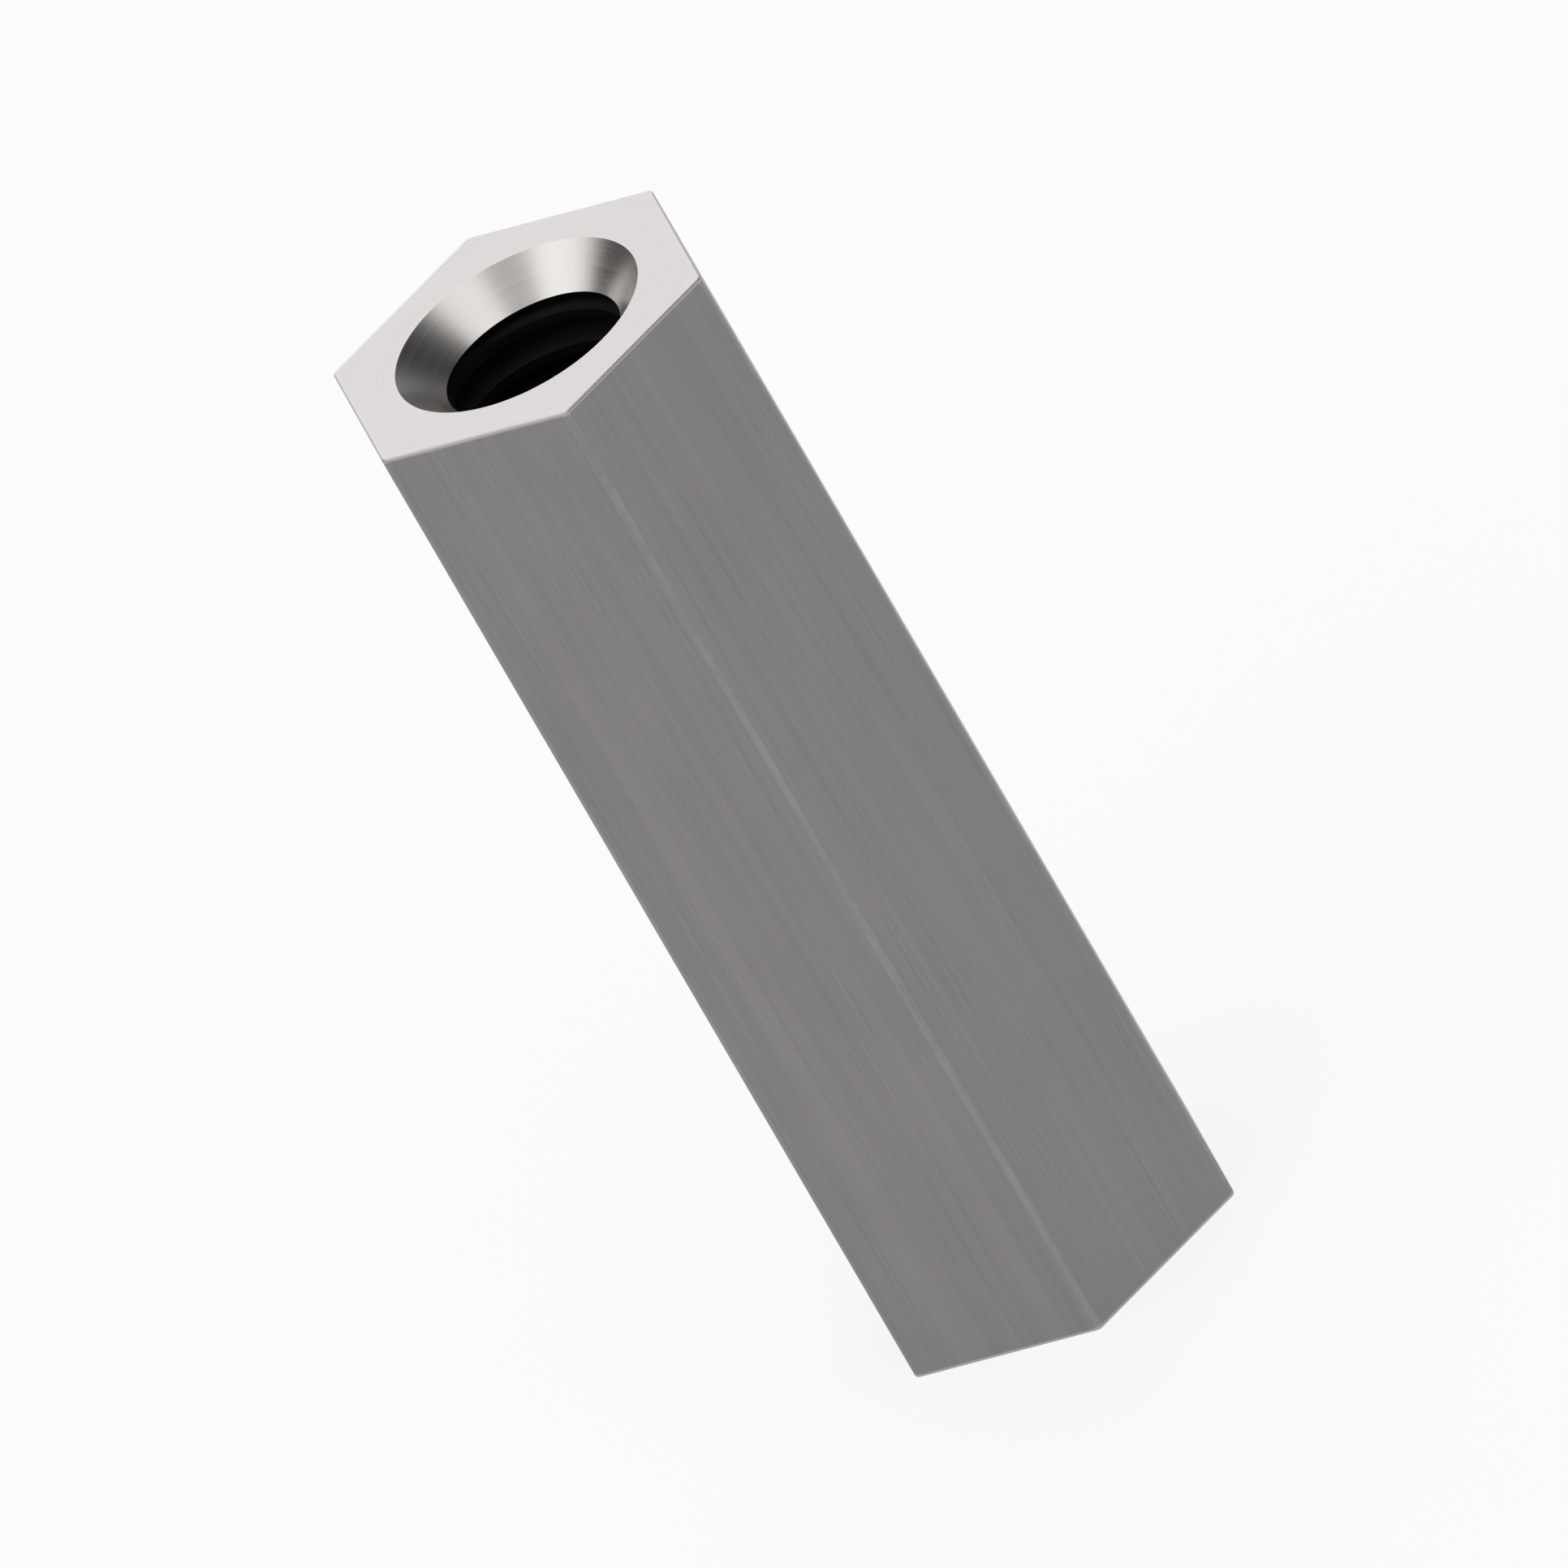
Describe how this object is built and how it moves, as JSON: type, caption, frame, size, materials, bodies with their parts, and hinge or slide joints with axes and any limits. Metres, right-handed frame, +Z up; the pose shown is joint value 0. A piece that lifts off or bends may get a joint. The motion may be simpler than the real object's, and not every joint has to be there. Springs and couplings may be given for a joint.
{
  "type": "hex standoff",
  "caption": "Hex bar standoff, tapped right through and countersunk at both ends, which holds two boards or panels a set distance apart.",
  "frame": {"origin": "middle of the lower end face, on the axis of the bore", "axes": "+Z up the bore from the lower end face to the upper one; one long corner of the hex faces -Y, and two flats face +X and -X"},
  "size_m": [0.0054, 0.0064, 0.018],
  "materials": {
    "stainless_steel": "drawn flats with fine lengthwise lines, faced ends, turned countersinks"
  },
  "bodies": {
    "root": {"hex_standoff": "stainless_steel"}
  },
  "joints": []
}
